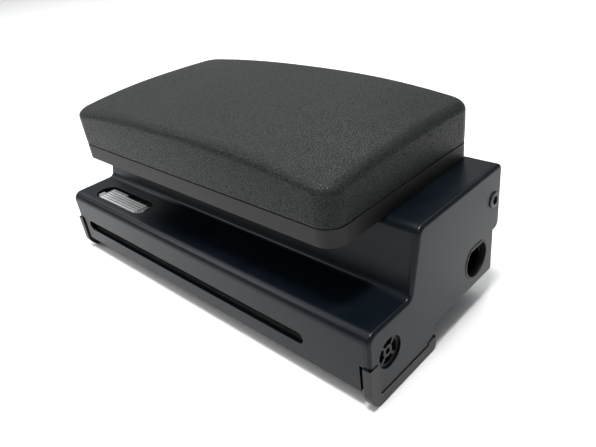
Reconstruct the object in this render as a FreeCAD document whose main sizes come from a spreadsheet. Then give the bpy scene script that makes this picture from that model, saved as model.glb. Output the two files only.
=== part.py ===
import FreeCAD, Part
import math
import os
import re
import Sketcher

# Console armrest with a built-in strip printer: a hinged sheet-metal hood with a padded top,
# over a bolted base that carries the paper roll and the printer.
#
# Frame: millimetres, +Z up, +X to the right-hand end plate, +Y to the rear.
# The origin is the centre of the console bolt pattern, on the underside of the base tray.
# A whole 1 or 2 added to the end of a cutting tool only runs it past the face it starts from.

X_AXIS = FreeCAD.Vector(1, 0, 0)
Y_AXIS = FreeCAD.Vector(0, 1, 0)
Z_AXIS = FreeCAD.Vector(0, 0, 1)

SIZES = {
    # hood: folded skin between two end plates
    "hoodLength": 280, "endWall": 3, "skin": 2.5,
    "frontFace": 88, "lowTop": 32.3, "lowDepth": 34.8, "riserLean": 8.7, "upperTop": 68.9,
    "rearFace": 38.2, "jogHeight": 27.5, "jogStep": 5.8,
    "plateHang": 14.5, "plateLift": 0.5, "frontDrop": 5, "notchAhead": 32,
    "bendFront": 6, "bendRiser": 4, "bendTop": 5, "bendRear": 3.5, "bendJog": 5,
    "cornerToe": 9, "cornerHeel": 3, "edgeRound": 2.2,
    # paper slot and key window in the skin
    "slotCentre": -15.45, "slotSide": 3.2, "slotTall": 7.6, "slotHeight": 8.6,
    "windowCentre": -92.5, "windowWide": 61, "windowDeep": 16.5, "windowBack": 16.2,
    # trim round the free lower edge of each end plate
    "trimWeb": 1, "trimLip": 0.5, "trimInner": 1.4, "trimReach": 6, "trimTop": 12.1, "trimHeel": -6.5,
    "trimRelief": 2.4,
    # vent plug and cable bushing in the right end plate
    "ventBack": 16.1, "ventHeight": 12.6, "ventRadius": 8.85, "ventRecess": 1.5, "ventFace": 1.8,
    "ventRing": 1.6, "ventHub": 3.5, "ventHole": 1.7, "ventSnap": 0.6, "ventOpening": 72,
    "bushBack": 12.4, "bushHeight": 18.9, "bushRadius": 12, "bushBody": 11.4, "bushBore": 10.7,
    "bushFlat": 9.6, "bushProud": 0.3,
    # pad
    "padWide": 225, "padDeep": 123.3, "padShift": 7.1, "padFront": 82.9, "padCorner": 11,
    "padBase": 9.9, "padSeam": 0.3, "padTall": 31.3, "padEdge": 7, "padCrown": 6.5,
    "padScrewX": 80, "padScrewY": 24, "padScrewAhead": 5, "padScrewThread": 2.5, "padScrewHole": 2.7,
    "padScrewHead": 5, "padScrewTall": 2.6, "padFloor": 2, "padScrewDeep": 8.9,
    # hinge
    "pivotBack": 29.8, "pivotHeight": 49.3, "pivotShoulder": 3.5, "pivotThread": 2.5, "pivotHead": 4.9,
    "pivotProud": 0.8, "pivotSocket": 2.6, "socketDeep": 1.8, "pivotFit": 0.05, "runGap": 0.3,
    "sleeveWall": 1.2, "threadPast": 1, "nutRadius": 4.8, "nutTall": 3, "earRadius": 5.3,
    "sweepRadius": 22.2, "sweepClear": 0.9,
    "stopWide": 6, "stopDeep": 6, "stopAhead": 14, "stopTall": 1.7,
    # base tray and cheeks
    "sheet": 2, "trayBend": 1, "cheekWall": 2.5, "cheekGap": 0.7, "trayFront": 84.7, "trayDrop": 5.5,
    "consoleEdge": 31, "wallBack": 31.9, "cheekFront": 80.5, "cheekLow": 9.5, "cheekTop": 61.3,
    "postFront": 20, "postRear": 2, "boltX": 90, "boltY": 20, "boltRadius": 3.5,
    # paper roll and its hubs
    "rollBack": 14, "rollHeight": 29, "rollRadius": 21, "coreOuter": 12.7, "coreInner": 11,
    "paperWide": 216, "coreFit": 0.4, "hubReach": 5.5, "hubFlange": 15, "hubDisc": 1.5, "hubGap": 0.5,
    "hubShaft": 4, "shaftFit": 0.1, "shaftPast": 4, "clipReach": 2, "clipThick": 1,
    "springRoom": 6.8, "springWire": 0.9, "springRadius": 5.6, "springTurns": 3,
    "bracketHalf": 10, "bracketAbove": 12, "bracketFoot": 14, "bracketScrewX": 9, "bracketScrewY": 6,
    "bracketScrewHead": 2.5, "screwTall": 1.8,
    # strip printer
    "caseLeftRoom": 4.55, "caseRightRoom": 27.45, "caseFront": 84.2, "caseRear": 37, "caseTop": 27,
    "caseSplit": 8.6, "caseWall": 2, "mouthSide": 1, "mouthTrim": 0.6, "entryDrop": 9, "entryTall": 5,
    "caseScrewInset": 10, "caseScrewEdge": 8, "caseScrewHead": 2.8,
    "bumperLeft": 5, "bumperRight": 8, "bumperBack": 28.6, "bumperRadius": 3,
    "platenBack": 66, "platenHeight": 11.5, "platenRadius": 6.5, "platenShaft": 2,
    "rollerPast": 0.5, "bearingLeft": 2.4, "bearingRight": 1.2, "bearingThick": 1.6, "bearingHalf": 4,
    "gearPast": 4, "gearWide": 3, "gearTip": 7.2, "pinionTip": 3.2, "toothDeep": 1.1, "meshGap": 0.3,
    "motorRadius": 8, "motorLong": 15, "motorFootInset": 2, "motorFootHalf": 5, "motorFootDrop": 5,
    "headGap": 0.4, "headThick": 1.5, "headBelow": 6, "headAbove": 7,
    "sinkThick": 2, "finReach": 5, "finThick": 1.2, "finStep": 5, "finLow": 8,
    "boardThick": 1.6, "boardRear": 3, "boardInset": 6, "boardDrop": 10,
    # feed key
    "keyAhead": 1.6, "keyDeep": 11, "keyLeftReach": 24.5, "keyRightReach": 26, "keyProud": 0.6,
    "keyStepLong": 20, "keyStepDeep": 2.6, "keyStubLeft": 3.4, "keyStubRight": 1.6, "keyStubDeep": 5,
    "keyStubAhead": 1.3, "keyFlange": 1.2, "keyFlangeThick": 1, "keyBoardSide": 3, "keyBoardFront": 2,
    "keyBoardRear": 0.5, "keyBoardClear": 0.7, "keySpringX": 18, "keySpringRadius": 1.8,
    "keySpringWire": 0.5,
    # sockets in the printer case
    "socketProud": 1.5, "dataBack": 53.5, "dataWide": 9, "dataHeight": 14.5, "dataTall": 5, "dataWall": 1,
    "dataDeep": 1, "powerBack": 70, "powerHeight": 14.5, "powerOuter": 4, "powerInner": 2.8,
    # front catch
    "catchInset": 5.4, "catchAhead": 6, "catchDeep": 18, "catchWide": 9, "strikeThick": 0.8,
    "magnetThick": 1.6, "magnetInset": 1, "magnetRear": 3,
}

doc = FreeCAD.newDocument("PrinterArmrest")
sheet = doc.addObject("Spreadsheet::Sheet", "Sizes")
for row, (name, amount) in enumerate(SIZES.items(), 1):
    sheet.set(f"A{row}", name)
    sheet.set(f"B{row}", str(amount))
    sheet.setAlias(f"B{row}", name)
doc.recompute()

WORD = re.compile(r"\b(" + "|".join(SIZES) + r")\b")
nodes = []


def rule(text):
    """An expression on the sheet's aliases."""
    return WORD.sub(r"Sizes.\1", str(text))


def value(text):
    return float(sheet.evalExpression(rule(text)))


def bind(thing, **rules):
    for prop, text in rules.items():
        thing.setExpression(prop, rule(text))


def place(thing, x, y, z):
    for letter, text in zip("xyz", (x, y, z)):
        thing.setExpression(f"Placement.Base.{letter}", rule(text))


def node(name, thing):
    """Marks a finished sub-part; its Label is its file's name."""
    thing.Label = name
    nodes.append(thing)
    return thing


# ---- Part primitives bound to the sheet

def box(name, x, y, z):
    """A box from (low, high) pairs."""
    thing = doc.addObject("Part::Box", name)
    bind(thing, Length=f"({x[1]}) - ({x[0]})", Width=f"({y[1]}) - ({y[0]})", Height=f"({z[1]}) - ({z[0]})")
    place(thing, x[0], y[0], z[0])
    return thing


TURNS = {
    "x": FreeCAD.Rotation(Y_AXIS, 90),
    "y": FreeCAD.Rotation(X_AXIS, -90),
    "z": FreeCAD.Rotation(),
}


def rod(name, axis, radius, across, along):
    """A cylinder along an axis; across is its centre on the other two axes, in x, y, z order."""
    thing = doc.addObject("Part::Cylinder", name)
    thing.Placement.Rotation = TURNS[axis]
    bind(thing, Radius=radius, Height=f"({along[1]}) - ({along[0]})")
    start = {
        "x": (along[0], across[0], across[1]),
        "y": (across[0], along[0], across[1]),
        "z": (across[0], across[1], along[0]),
    }[axis]
    place(thing, *start)
    return thing


def fuse(name, pieces):
    thing = doc.addObject("Part::MultiFuse", name)
    thing.Shapes = pieces
    return thing


def cut(name, base, tools):
    thing = doc.addObject("Part::Cut", name)
    thing.Base = base
    thing.Tool = tools[0] if len(tools) == 1 else fuse(name + "Tools", tools)
    return thing


def common(name, pieces):
    thing = doc.addObject("Part::MultiCommon", name)
    thing.Shapes = pieces
    return thing


def group(name, pieces):
    """Separate solids in one node."""
    thing = doc.addObject("Part::Compound", name)
    thing.Links = pieces
    return thing


def tube(name, axis, outer, inner, across, along):
    return cut(name, rod(name + "Outer", axis, outer, across, along),
               [rod(name + "Bore", axis, inner, across, along)])


def make_spring(name, radius, wire, length, foot, axis):
    """A compression spring that fills its length, from its foot along the axis."""
    rise = value(f"{length} - {wire}")
    helix = Part.makeHelix(rise / value("springTurns"), rise, value(radius))
    section = Part.Wire(Part.makeCircle(value(wire) / 2, FreeCAD.Vector(value(radius), 0, 0), Y_AXIS).Edges)
    thing = doc.addObject("Part::Feature", name)
    thing.Shape = Part.Wire(helix.Edges).makePipeShell([section], True, True)
    start = FreeCAD.Vector(*(value(text) for text in foot))
    lift = FreeCAD.Vector(0, 0, value(wire) / 2)
    thing.Placement = FreeCAD.Placement(start + TURNS[axis].multVec(lift), TURNS[axis])
    return thing


# ---- PartDesign bodies

def new_body(name):
    return doc.addObject("PartDesign::Body", name + "Body")


def new_sketch(body, role, level):
    """A sketch on one of the body's origin planes, moved along the plane's normal."""
    sketch = body.newObject("Sketcher::SketchObject", body.Name + "Sketch")
    plane = [item for item in body.Origin.OriginFeatures if item.Role == role][0]
    sketch.AttachmentSupport = [(plane, "")]
    sketch.MapMode = "FlatFace"
    sketch.setExpression("AttachmentOffset.Base.z", rule(level))
    return sketch


def pin_point(sketch, geometry, end, point):
    """Holds one point of a sketch at its two expressions."""
    for kind, text in zip(("DistanceX", "DistanceY"), point):
        index = sketch.addConstraint(Sketcher.Constraint(kind, -1, 1, geometry, end, value(text)))
        sketch.setExpression(f"Constraints[{index}]", rule(text))


def draw_polygon(sketch, points):
    first = sketch.GeometryCount
    count = len(points)
    corners = [FreeCAD.Vector(value(across), value(up), 0) for across, up in points]
    for i in range(count):
        sketch.addGeometry(Part.LineSegment(corners[i], corners[(i + 1) % count]), False)
    for i in range(count):
        sketch.addConstraint(Sketcher.Constraint("Coincident", first + i, 2, first + (i + 1) % count, 1))
        pin_point(sketch, first + i, 1, points[i])


def draw_circle(sketch, centre, radius):
    middle = FreeCAD.Vector(value(centre[0]), value(centre[1]), 0)
    index = sketch.addGeometry(Part.Circle(middle, Z_AXIS, value(radius)), False)
    pin_point(sketch, index, 3, centre)
    size = sketch.addConstraint(Sketcher.Constraint("Radius", index, value(radius)))
    sketch.setExpression(f"Constraints[{size}]", rule(radius))


def draw_obround(sketch, centre, wide, tall):
    """A slot with round ends, lying along the sketch's first axis."""
    radius = value(tall) / 2
    reach = value(wide) / 2 - radius
    middle = FreeCAD.Vector(value(centre[0]), value(centre[1]), 0)
    ends = [middle - X_AXIS * reach, middle + X_AXIS * reach]
    up = Y_AXIS * radius
    left = sketch.addGeometry(
        Part.ArcOfCircle(Part.Circle(ends[0], Z_AXIS, radius), math.pi / 2, 3 * math.pi / 2), False)
    low = sketch.addGeometry(Part.LineSegment(ends[0] - up, ends[1] - up), False)
    right = sketch.addGeometry(
        Part.ArcOfCircle(Part.Circle(ends[1], Z_AXIS, radius), -math.pi / 2, math.pi / 2), False)
    high = sketch.addGeometry(Part.LineSegment(ends[1] + up, ends[0] + up), False)
    for one, two in ((left, low), (low, right), (right, high), (high, left)):
        sketch.addConstraint(Sketcher.Constraint("Tangent", one, 2, two, 1))
    pin_point(sketch, left, 3, (f"{centre[0]} - ({wide} - {tall}) / 2", centre[1]))
    pin_point(sketch, right, 3, (f"{centre[0]} + ({wide} - {tall}) / 2", centre[1]))
    size = sketch.addConstraint(Sketcher.Constraint("Radius", left, radius))
    sketch.setExpression(f"Constraints[{size}]", rule(f"{tall} / 2"))


def pad(body, role, level, thickness, points):
    sketch = new_sketch(body, role, level)
    draw_polygon(sketch, points)
    feature = body.newObject("PartDesign::Pad", body.Name + "Pad")
    feature.Profile = sketch
    bind(feature, Length=thickness)
    doc.recompute()
    return feature


def pocket(body, role, level, depth, draw):
    """A pocket that starts at the level and runs against the plane's normal."""
    before = body.Shape.Volume
    sketch = new_sketch(body, role, level)
    draw(sketch)
    feature = body.newObject("PartDesign::Pocket", body.Name + "Pocket")
    feature.Profile = sketch
    bind(feature, Length=depth)
    doc.recompute()
    if not body.Shape.Volume < before - 0.01:
        raise RuntimeError(f"{feature.Name} cuts nothing")
    return feature


def round_bends(body, corners, radius, direction=X_AXIS):
    """Rounds the straight edges along a direction that pass through the given (across, up) corners."""
    flat = [(value(across), value(up)) for across, up in corners]
    picked = []
    for number, edge in enumerate(body.Shape.Edges, 1):
        if not isinstance(edge.Curve, Part.Line) or abs(abs(edge.Curve.Direction * direction) - 1) > 1e-6:
            continue
        middle = edge.CenterOfMass
        spot = (middle.y, middle.z) if direction == X_AXIS else (middle.x, middle.y)
        if any(math.dist(spot, corner) < 1e-3 for corner in flat):
            picked.append(f"Edge{number}")
    if len(picked) < len(corners):
        raise RuntimeError(f"{body.Name} has no edge to round at {corners}")
    return fillet(body, picked, radius)


def fillet(body, picked, radius):
    before = body.Tip
    feature = body.newObject("PartDesign::Fillet", body.Name + "Fillet")
    feature.Base = (before, picked)
    bind(feature, Radius=radius)
    doc.recompute()
    return feature


def round_rim(body, level, radius):
    """Rounds every outer edge of the flat face that lies at one X."""
    height = value(level)
    for face in body.Shape.Faces:
        box_ = face.BoundBox
        if abs(box_.XMin - height) < 1e-4 and abs(box_.XMax - height) < 1e-4:
            rim = face.OuterWire.Edges
            picked = [f"Edge{number}" for number, edge in enumerate(body.Shape.Edges, 1)
                      if any(edge.isSame(other) for other in rim)]
            return fillet(body, picked, radius)
    raise RuntimeError(f"{body.Name} has no face at {level}")


# ---- Lines that several pieces share

FRONT = "-frontFace"
STEP = "(lowDepth - frontFace)"
RISER_TOP = "(lowDepth + riserLean - frontFace)"
LOWER_REAR = "(rearFace - jogStep)"
SLOPE = "(riserLean / (upperTop - lowTop))"
RISER_IN = f"(skin * sqrt(1 + {SLOPE} * {SLOPE}))"
LOW_IN = "(lowTop - skin)"
UPPER_IN = "(upperTop - skin)"
PLATE_OUT = "(hoodLength / 2)"
PLATE_IN = "(hoodLength / 2 - endWall)"
LIP_IN = f"({PLATE_IN} - trimInner)"
CHEEK_OUT = f"({LIP_IN} - cheekGap)"
CHEEK_IN = f"({CHEEK_OUT} - cheekWall)"
PIVOT = ("pivotBack", "pivotHeight")
ROLL = ("-rollBack", "rollHeight")
ARM_LOW = "(pivotHeight - earRadius)"
PAPER_LEFT = "(slotCentre - paperWide / 2)"
PAPER_RIGHT = "(slotCentre + paperWide / 2)"
SLOT_WIDE = "(paperWide + 2 * slotSide)"
CASE_LEFT = f"({PAPER_LEFT} - caseLeftRoom)"
CASE_RIGHT = f"({PAPER_RIGHT} + caseRightRoom)"
TRAY_FLOOR = "(sheet - trayDrop)"
CASE_FLOOR = "(sheet - trayDrop + caseWall)"
GEAR_X = (f"{PAPER_RIGHT} + gearPast", f"{PAPER_RIGHT} + gearPast + gearWide")
KEY_X = ("(windowCentre - keyLeftReach)", "(windowCentre + keyRightReach)")
KEY_Y = "(windowBack - keyAhead - frontFace)"
KEY_UNDER = "(caseTop - caseWall - runGap)"
KEY_STUB = f"({KEY_Y} - keyStubAhead)"
# the key's plan as (low, high) spans: the stem, its wider part at the rear left, and a stub at each end
KEY_PLAN = [
    (KEY_X, (f"{KEY_Y} - keyDeep / 2", f"{KEY_Y} + keyDeep / 2")),
    ((KEY_X[0], f"{KEY_X[0]} + keyStepLong"), (KEY_Y, f"{KEY_Y} + keyDeep / 2 + keyStepDeep")),
    ((f"{KEY_X[0]} - keyStubLeft", f"{KEY_X[1]} + keyStubRight"),
     (f"{KEY_STUB} - keyStubDeep / 2", f"{KEY_STUB} + keyStubDeep / 2")),
]
PAD_FLOOR = "(upperTop + padBase - padFloor)"
CATCH_X = f"({CHEEK_IN} - catchInset)"
SIDES = {"left": -1, "right": 1}


def span(side, low, high):
    """A pair of X values, low and high from the centre, on one side of the object."""
    return (low, high) if side > 0 else (f"-({high})", f"-({low})")


# ---- Hood

def make_hood_shell():
    """The folded skin: front, low top, leaning riser, high top, rear and a short return."""
    body = new_body("hoodShell")
    inner_step = f"{STEP} - skin * {SLOPE} + {RISER_IN}"
    inner_top = f"{STEP} + ({UPPER_IN} - lowTop) * {SLOPE} + {RISER_IN}"
    outer = [(FRONT, "-frontDrop"), (FRONT, "lowTop"), (STEP, "lowTop"), (RISER_TOP, "upperTop"),
             ("rearFace", "upperTop"), ("rearFace", "jogHeight"), (LOWER_REAR, "jogHeight")]
    inner = [(LOWER_REAR, "jogHeight + skin"), ("rearFace - skin", "jogHeight + skin"),
             ("rearFace - skin", UPPER_IN), (inner_top, UPPER_IN), (inner_step, LOW_IN),
             (f"{FRONT} + skin", LOW_IN), (f"{FRONT} + skin", "-frontDrop")]
    pad(body, "YZ_Plane", f"-{PLATE_IN}", f"2 * {PLATE_IN}", outer + inner)
    bends = [(outer[1], inner[5], "bendFront"), (inner[4], outer[2], "bendRiser"),
             (outer[3], inner[3], "bendTop"), (outer[4], inner[2], "bendRear"),
             (outer[5], inner[1], "bendJog")]
    for convex, concave, radius in bends:
        tight = radius == "bendRiser"
        round_bends(body, [convex], f"{radius} + skin" if tight else radius)
        round_bends(body, [concave], radius if tight else f"{radius} - skin")
    pocket(body, "XZ_Plane", "frontFace + 1", "skin + 2",
           lambda sketch: draw_obround(sketch, ("slotCentre", "slotHeight"), SLOT_WIDE, "slotTall"))
    pocket(body, "XY_Plane", "lowTop + 1", "skin + 2",
           lambda sketch: draw_obround(sketch, ("windowCentre", f"{FRONT} + windowBack"),
                                       "windowWide", "windowDeep"))
    for side in SIDES.values():
        x = span(side, f"{LIP_IN} - trimRelief", f"{PLATE_IN} + 1")
        pocket(body, "XZ_Plane", "frontFace + 1", "skin + 2",
               lambda sketch: draw_polygon(sketch, [(x[0], "-frontDrop - 1"), (x[1], "-frontDrop - 1"),
                                                    (x[1], "trimTop"), (x[0], "trimTop")]))
    for x in (-1, 1):
        for y in (-1, 1):
            pocket(body, "XY_Plane", "upperTop + 1", "skin + 2",
                   lambda sketch: draw_circle(sketch, pad_screw(x, y), "padScrewHole"))
    node("hood_shell", body)


def pad_screw(x, y):
    return (f"padShift + {x} * padScrewX", f"{y} * padScrewY - padScrewAhead")


def plate_outline():
    """The end plate's corners, from the toe round to the low top, with the radius of each."""
    return [((FRONT, "-plateHang"), "cornerToe"), (("-notchAhead", "-plateHang"), "cornerHeel"),
            (("-notchAhead", "plateLift"), "cornerHeel"), ((LOWER_REAR, "plateLift"), "cornerHeel"),
            ((LOWER_REAR, "jogHeight"), None), (("rearFace", "jogHeight"), "bendJog"),
            (("rearFace", "upperTop"), "bendRear"), ((RISER_TOP, "upperTop"), "bendTop"),
            ((STEP, "lowTop"), "bendRiser"), ((FRONT, "lowTop"), "bendFront")]


def make_end_plate(side_name):
    side = SIDES[side_name]
    body = new_body(f"endPlate{side_name.title()}")
    x = span(side, PLATE_IN, PLATE_OUT)
    outline = plate_outline()
    pad(body, "YZ_Plane", x[0], "endWall", [corner for corner, _ in outline])
    for corner, radius in outline:
        if radius:
            round_bends(body, [corner], radius)
    round_rim(body, x[1] if side > 0 else x[0], "edgeRound")
    level = f"{x[1]} + 1"
    pocket(body, "YZ_Plane", level, "endWall + 2",
           lambda sketch: draw_circle(sketch, PIVOT, "pivotShoulder + pivotFit + sleeveWall"))
    if side > 0:
        pocket(body, "YZ_Plane", level, "endWall + 2",
               lambda sketch: draw_circle(sketch, (f"{FRONT} + ventBack", "ventHeight"), "ventRadius"))
        pocket(body, "YZ_Plane", level, "endWall + 2",
               lambda sketch: draw_circle(sketch, ("bushBack", "bushHeight"), "bushBody"))
    node(f"end_plate_{side_name}", body)


def make_edge_trim(side_name):
    """A push-on channel round the lower front edge of an end plate."""
    side = SIDES[side_name]
    body = new_body(f"edgeTrim{side_name.title()}")
    x = span(side, LIP_IN, f"{PLATE_OUT} + trimLip")
    toe = "-plateHang - trimWeb"
    heel = "trimWeb - notchAhead"
    strip = [(f"{FRONT} - trimWeb", "trimTop"), (f"{FRONT} - trimWeb", toe), (heel, toe), (heel, "trimHeel"),
             ("-notchAhead - trimReach", "trimHeel"), ("-notchAhead - trimReach", "trimReach - plateHang"),
             (f"{FRONT} + trimReach", "trimReach - plateHang"), (f"{FRONT} + trimReach", "trimTop")]
    pad(body, "YZ_Plane", x[0], f"({x[1]}) - ({x[0]})", strip)
    slot = span(side, PLATE_IN, PLATE_OUT)
    mouth = [(FRONT, "trimTop + 1"), (FRONT, "-plateHang"), ("-notchAhead", "-plateHang"),
             ("-notchAhead", "trimTop + 1")]
    pocket(body, "YZ_Plane", slot[1], "endWall", lambda sketch: draw_polygon(sketch, mouth))
    round_bends(body, [(FRONT, "-plateHang")], "cornerToe")
    round_bends(body, [("-notchAhead", "-plateHang")], "cornerHeel")
    round_bends(body, [strip[1]], "cornerToe + trimWeb")
    round_bends(body, [strip[2]], "cornerHeel + trimWeb")
    round_bends(body, [strip[6]], "cornerToe - trimReach")
    node(f"edge_trim_{side_name}", body)


def make_vent_plug():
    """A snap-in plug with four sector openings between diagonal spokes."""
    centre = (f"{FRONT} + ventBack", "ventHeight")
    face = f"{PLATE_OUT} - ventRecess"
    inner = f"{face} - ventFace"
    disc = rod("ventDisc", "x", "ventRadius", centre, (inner, face))
    sleeve = tube("ventSleeve", "x", "ventRadius", "ventRadius - ventRing", centre,
                  (f"{LIP_IN} + runGap", inner))
    snap = tube("ventSnap", "x", "ventRadius + ventSnap", "ventRadius - ventRing", centre,
                (f"{LIP_IN} + runGap", PLATE_IN))
    sectors = []
    for quarter in range(4):
        sector = rod(f"ventSector{quarter}", "x", "ventRadius - ventRing", centre, (inner, face))
        start = FreeCAD.Rotation(X_AXIS, 90 * quarter - value("ventOpening") / 2)
        sector.Placement.Rotation = start * TURNS["x"]
        bind(sector, Angle="ventOpening")
        sectors.append(sector)
    hub = rod("ventHubKeep", "x", "ventHub", centre, (inner, face))
    openings = cut("ventOpenings", fuse("ventSectors", sectors), [hub])
    middle = rod("ventMiddle", "x", "ventHole", centre, (inner, face))
    node("vent_plug", cut("ventPlug", fuse("ventSolid", [disc, sleeve, snap]), [openings, middle]))


def flat_rod(name, radius, flat, along):
    """A rod through the right end plate with a flat on its top."""
    centre = ("bushBack", "bushHeight")
    keep = box(name + "Keep", along, (f"bushBack - {radius} - 1", f"bushBack + {radius} + 1"),
               (f"bushHeight - {radius} - 1", f"bushHeight + {flat}"))
    return common(name, [rod(name + "Round", "x", radius, centre, along), keep])


def make_cable_bushing():
    face = f"{PLATE_OUT} + bushProud"
    flange = flat_rod("bushingFlange", "bushRadius", "bushFlat + bushRadius - bushBody", (PLATE_OUT, face))
    barrel = rod("bushingBarrel", "x", "bushBody", ("bushBack", "bushHeight"),
                 (f"{LIP_IN} + runGap", PLATE_OUT))
    bore = flat_rod("bushingBore", "bushBore", "bushFlat - bushRadius + bushBore", (LIP_IN, f"{face} + 1"))
    node("cable_bushing", cut("cableBushing", fuse("bushingSolid", [flange, barrel]), [bore]))


def make_pivot_sleeve(side_name):
    side = SIDES[side_name]
    bore = "pivotShoulder + pivotFit"
    barrel = rod(f"sleeveBarrel{side}", "x", f"{bore} + sleeveWall", PIVOT, span(side, PLATE_IN, PLATE_OUT))
    reach = "rearFace - skin - pivotBack - runGap"
    flange = rod(f"sleeveFlange{side}", "x", reach, PIVOT, span(side, f"{CHEEK_OUT} + runGap", PLATE_IN))
    hole = rod(f"sleeveBore{side}", "x", bore, PIVOT, span(side, CHEEK_OUT, f"{PLATE_OUT} + 1"))
    solid = fuse(f"sleeveSolid{side}", [barrel, flange])
    node(f"pivot_sleeve_{side_name}", cut(f"pivotSleeve{side}", solid, [hole]))


def pad_outline(inset):
    left = f"padShift - padWide / 2 + {inset}"
    right = f"padShift + padWide / 2 - {inset}"
    return [(left, f"{inset} - padFront"), (right, f"{inset} - padFront"),
            (right, f"padDeep - padFront - {inset}"), (left, f"padDeep - padFront - {inset}")]


def make_pad_base():
    """The moulded tray that carries the soft pad."""
    body = new_body("padBase")
    corners = pad_outline(0)
    pad(body, "XY_Plane", "upperTop", "padBase", corners)
    round_bends(body, corners, "padCorner", Z_AXIS)
    for x in (-1, 1):
        for y in (-1, 1):
            pocket(body, "XY_Plane", PAD_FLOOR, "padScrewDeep",
                   lambda sketch: draw_circle(sketch, pad_screw(x, y), "padScrewThread"))
    node("pad_base", body)


def draw_crown(sketch, left, right, low, shoulder, rise):
    """A rectangle whose top is an arc that rises between its shoulders."""
    wide = f"(({right}) - ({left}))"
    ends = [FreeCAD.Vector(value(x), value(shoulder), 0) for x in (right, left)]
    top = FreeCAD.Vector((ends[0].x + ends[1].x) / 2, value(f"{shoulder} + {rise}"), 0)
    feet = [FreeCAD.Vector(value(x), value(low), 0) for x in (left, right)]
    sketch.addGeometry(Part.LineSegment(feet[0], feet[1]), False)
    sketch.addGeometry(Part.LineSegment(feet[1], ends[0]), False)
    sketch.addGeometry(Part.Arc(ends[0], top, ends[1]), False)
    sketch.addGeometry(Part.LineSegment(ends[1], feet[0]), False)
    for one, two in ((0, 1), (3, 0)):
        sketch.addConstraint(Sketcher.Constraint("Coincident", one, 2, two, 1))
    sketch.addConstraint(Sketcher.Constraint("Coincident", 1, 2, 2, 1))
    sketch.addConstraint(Sketcher.Constraint("Coincident", 2, 2, 3, 1))
    pin_point(sketch, 0, 1, (left, low))
    pin_point(sketch, 1, 1, (right, low))
    pin_point(sketch, 1, 2, (right, shoulder))
    pin_point(sketch, 3, 1, (left, shoulder))
    radius = f"({wide} * {wide} / 4 + {rise} * {rise}) / (2 * {rise})"
    size = sketch.addConstraint(Sketcher.Constraint("Radius", 2, value(radius)))
    sketch.setExpression(f"Constraints[{size}]", rule(radius))


def make_arm_pad():
    """The soft pad: round corners, and a top crowned along its length."""
    bottom = "(upperTop + padBase + padSeam)"
    body = new_body("armPad")
    corners = pad_outline(0)
    sketch = new_sketch(body, "XZ_Plane", "padFront - padDeep")
    draw_crown(sketch, corners[0][0], corners[1][0], bottom, f"{bottom} + padTall - padCrown", "padCrown")
    feature = body.newObject("PartDesign::Pad", "armPadPad")
    feature.Profile = sketch
    bind(feature, Length="padDeep")
    doc.recompute()
    round_bends(body, corners, "padCorner", Z_AXIS)
    crown = max(body.Shape.Faces, key=lambda face: face.CenterOfMass.z)
    rim = crown.OuterWire.Edges
    picked = [f"Edge{number}" for number, edge in enumerate(body.Shape.Edges, 1)
              if any(edge.isSame(other) for other in rim)]
    fillet(body, picked, "padEdge")
    node("arm_pad", body)


def make_pad_screws():
    screws = []
    for x in (-1, 1):
        for y in (-1, 1):
            spot = pad_screw(x, y)
            name = f"padScrew{'ab'[x > 0]}{'ab'[y > 0]}"
            head = rod(name + "Head", "z", "padScrewHead", spot, (f"{UPPER_IN} - padScrewTall", UPPER_IN))
            shank = rod(name + "Shank", "z", "padScrewThread", spot, (UPPER_IN, PAD_FLOOR))
            screws.append(fuse(name, [head, shank]))
    node("pad_screws", group("padScrews", screws))


def make_strike_plate():
    node("strike_plate", box("strikePlate", *catch_area(), (f"{LOW_IN} - strikeThick", LOW_IN)))


def catch_area():
    """The X and Y spans that the strike plate and the catch share."""
    return ((f"{CATCH_X} - catchWide / 2", f"{CATCH_X} + catchWide / 2"),
            (f"{STEP} - catchAhead - catchDeep", f"{STEP} - catchAhead"))


# ---- Base

def make_base_tray():
    """One folded sheet: a low front floor, a step behind the console's edge, a floor and a rear wall."""
    body = new_body("baseTray")
    wall_top = "pivotHeight - sweepRadius - sweepClear"
    outer = [("-trayFront", "-trayDrop"), ("-consoleEdge", "-trayDrop"), ("-consoleEdge", "0"),
             ("wallBack", "0"), ("wallBack", wall_top)]
    inner = [("wallBack - sheet", wall_top), ("wallBack - sheet", "sheet"), ("-consoleEdge - sheet", "sheet"),
             ("-consoleEdge - sheet", TRAY_FLOOR), ("-trayFront", TRAY_FLOOR)]
    pad(body, "YZ_Plane", f"-{CHEEK_IN}", f"2 * {CHEEK_IN}", outer + inner)
    round_bends(body, [outer[3]], "sheet + trayBend")
    round_bends(body, [inner[1]], "trayBend")
    for x in (-1, 1):
        for y in (-1, 1):
            pocket(body, "XY_Plane", "sheet + 1", "sheet + 2",
                   lambda sketch: draw_circle(sketch, (f"{x} * boltX", f"{y} * boltY"), "boltRadius"))
    node("base_tray", body)


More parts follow.
